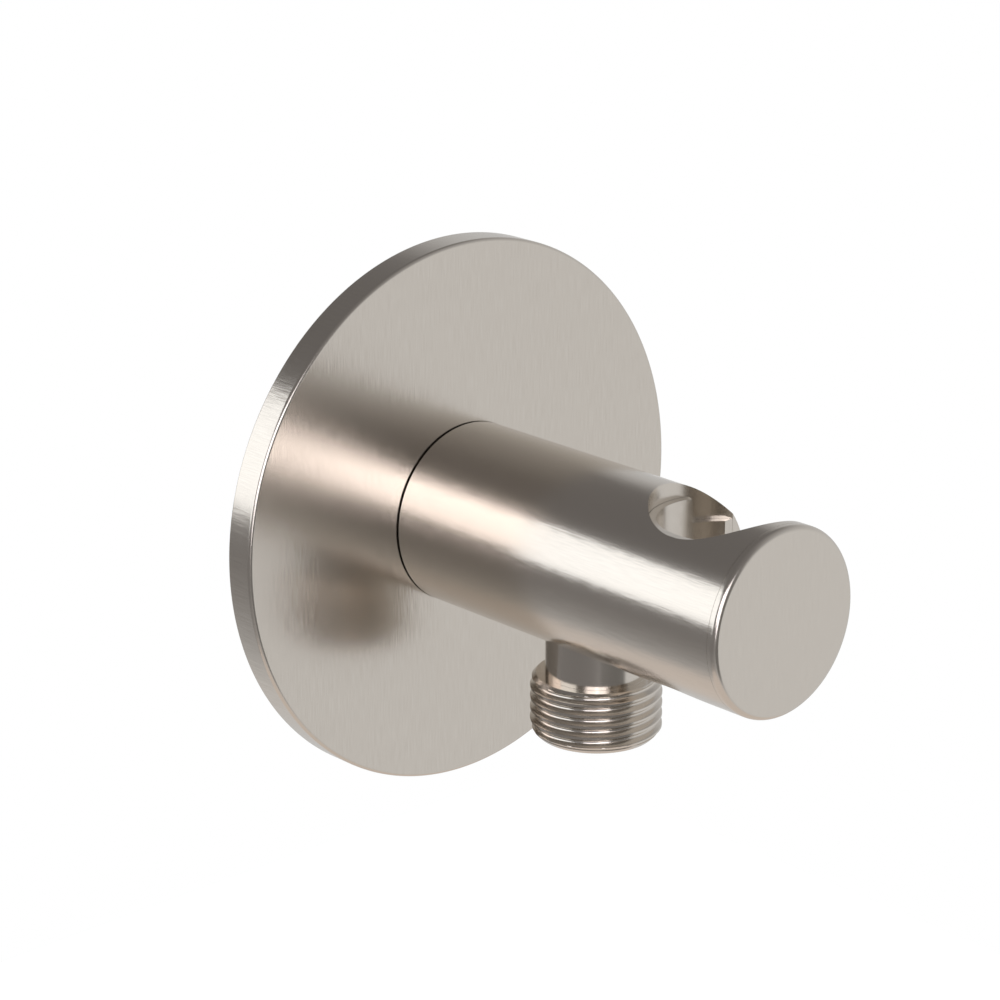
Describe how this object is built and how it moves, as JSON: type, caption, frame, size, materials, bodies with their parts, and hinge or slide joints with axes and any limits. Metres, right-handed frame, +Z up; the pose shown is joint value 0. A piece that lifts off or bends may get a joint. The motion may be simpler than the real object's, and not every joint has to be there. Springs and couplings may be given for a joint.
{
  "type": "wall outlet elbow",
  "caption": "Round wall outlet elbow with a horizontal arm, a threaded hose outlet under it and a slotted cradle for the handset near its free end.",
  "frame": {"origin": "where the arm's axis meets the wall, in the inlet thread", "axes": "+Y into the wall along the inlet, -Y out along the arm, +Z up, +X to the right when facing the wall, to which the cradle opens"},
  "size_m": [0.09, 0.0892, 0.09],
  "materials": {
    "brushed_metal": "brushed nickel, fine straight grain",
    "satin_metal": "satin nickel",
    "satin_brass": "satin nickel plating on brass",
    "plain_brass": "turned, unplated",
    "screw_steel": "stainless, plain",
    "spring_steel": "drawn stainless wire",
    "seal_rubber": "matt black",
    "valve_plastic": "moulded, off-white",
    "poppet_plastic": "moulded, blue-grey"
  },
  "bodies": {
    "fitting": {"wall_plate": "brushed_metal", "holder_body": "brushed_metal", "cradle_insert": "satin_metal", "outlet_nipple": "satin_brass", "inlet_nipple": "plain_brass", "lock_screw": "screw_steel", "plate_seal": "seal_rubber", "plate_o_ring": "seal_rubber", "inlet_o_ring_back": "seal_rubber", "inlet_o_ring_front": "seal_rubber", "outlet_o_ring": "seal_rubber", "valve_o_ring": "seal_rubber", "valve_housing": "valve_plastic", "valve_guide": "valve_plastic", "valve_spring": "spring_steel"},
    "poppet": {"valve_poppet": "poppet_plastic", "valve_seal": "seal_rubber"}
  },
  "joints": [
    {"name": "valve_opening", "type": "slide", "parent": "fitting", "child": "poppet", "axis": [0, 0, -1], "range_m": [0, 0.0022], "stiffness_N_per_m": 60, "springref_m": -0.0015, "deforming": ["valve_spring"]}
  ]
}
